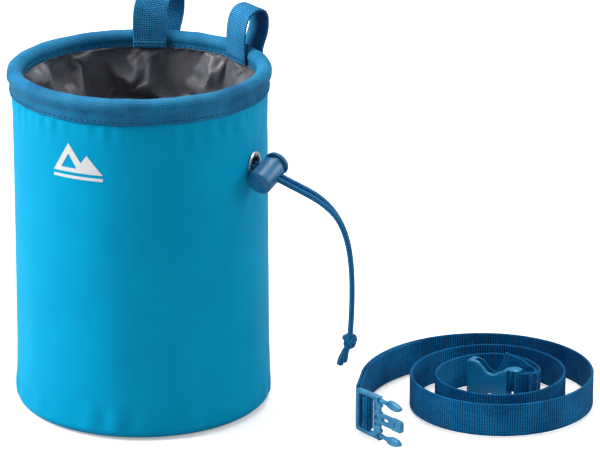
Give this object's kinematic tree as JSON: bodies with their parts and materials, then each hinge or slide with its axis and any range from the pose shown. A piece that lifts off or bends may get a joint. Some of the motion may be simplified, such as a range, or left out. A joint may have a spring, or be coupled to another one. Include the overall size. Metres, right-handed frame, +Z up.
{
  "type": "climbing chalk bag",
  "caption": "Cylindrical fabric chalk bag with a stiffened padded rim, drawcord collar, belt loops and a coiled webbing waist belt with a side-release buckle.",
  "frame": {"origin": "centre of the bag's round base, where it rests on the ground", "axes": "+Z up along the bag's axis, -Y towards the printed front, +Y towards the belt loops, +X towards the eyelet and cord lock"},
  "size_m": [0.2682, 0.1798, 0.187],
  "materials": {
    "shell_fabric": "satin",
    "foam": "matte",
    "print": "matte",
    "hoop_wire": "brushed",
    "rim_tape": "matte",
    "thread": "matte",
    "lining_fabric": "satin",
    "fleece": "matte",
    "webbing": "matte",
    "eyelet_metal": "polished",
    "cord": "matte",
    "lock_plastic": "satin",
    "buckle_plastic": "satin"
  },
  "bodies": {
    "bag": {"outer_shell": "shell_fabric", "base_panel": "shell_fabric", "wall_foam": "foam", "base_foam": "foam", "front_print": "print", "rim_hoop": "hoop_wire", "rim_padding": "foam", "rim_binding": "rim_tape", "rim_stitching": "thread", "lining_collar": "lining_fabric", "neck_channel": "lining_fabric", "inner_bag": "fleece", "inner_base": "fleece", "belt_loop_left": "webbing", "belt_loop_right": "webbing", "loop_stitching": "thread", "eyelet_face": "eyelet_metal", "eyelet_washer": "eyelet_metal", "drawcord_ring": "cord"},
    "drawcord": {"drawcord_tail": "cord"},
    "cord_lock": {"lock_barrel": "lock_plastic", "lock_spring": "hoop_wire"},
    "lock_button": {"lock_plunger": "lock_plastic"},
    "belt": {"belt_webbing": "webbing", "belt_stitching": "thread"},
    "buckle_male": {"buckle_male_frame": "buckle_plastic"},
    "prong_upper": {"buckle_prong_upper": "buckle_plastic"},
    "prong_lower": {"buckle_prong_lower": "buckle_plastic"},
    "buckle_female": {"buckle_female": "buckle_plastic"}
  },
  "joints": [
    {"name": "drawcord_pull", "type": "slide", "parent": "bag", "child": "drawcord", "axis": [0.9455, 0, -0.3256], "range_m": [0, 0.03]},
    {"name": "lock_slide", "type": "slide", "parent": "bag", "child": "cord_lock", "axis": [0.9455, 0, -0.3256], "range_m": [0, 0.012]},
    {"name": "lock_press", "type": "slide", "parent": "cord_lock", "child": "lock_button", "axis": [-0.1324, -0.9135, -0.3846], "range_m": [0, 0.0025], "stiffness_N_per_m": 300, "deforming": ["lock_spring"]},
    {"name": "belt_lift", "type": "slide", "parent": "bag", "child": "belt", "axis": [0.5, 0, 0.866], "range_m": [0, 0.15]},
    {"name": "buckle_male_tilt", "type": "hinge", "parent": "belt", "child": "buckle_male", "pos_m": [0.12173, -0.00131, 0.01185], "axis": [0, 0, 1], "range_deg": [0, 12]},
    {"name": "prong_upper_flex", "type": "hinge", "parent": "buckle_male", "child": "prong_upper", "pos_m": [0.13099, -0.00559, 0.0208], "axis": [0.4187, 0.9081, 0], "range_deg": [0, 12], "stiffness_Nm_per_rad": 0.02},
    {"name": "prong_lower_flex", "type": "hinge", "parent": "buckle_male", "child": "prong_lower", "pos_m": [0.13099, -0.00559, 0.0029], "axis": [0.4187, 0.9081, 0], "range_deg": [-12, 0], "stiffness_Nm_per_rad": 0.02},
    {"name": "buckle_female_tilt", "type": "hinge", "parent": "belt", "child": "buckle_female", "pos_m": [0.17164, 0.06373, 0.011], "axis": [0, 0, 1], "range_deg": [-9, 9]}
  ],
  "couplings": [
    {"joint": "prong_lower_flex", "follows": "prong_upper_flex", "ratio": -1}
  ]
}
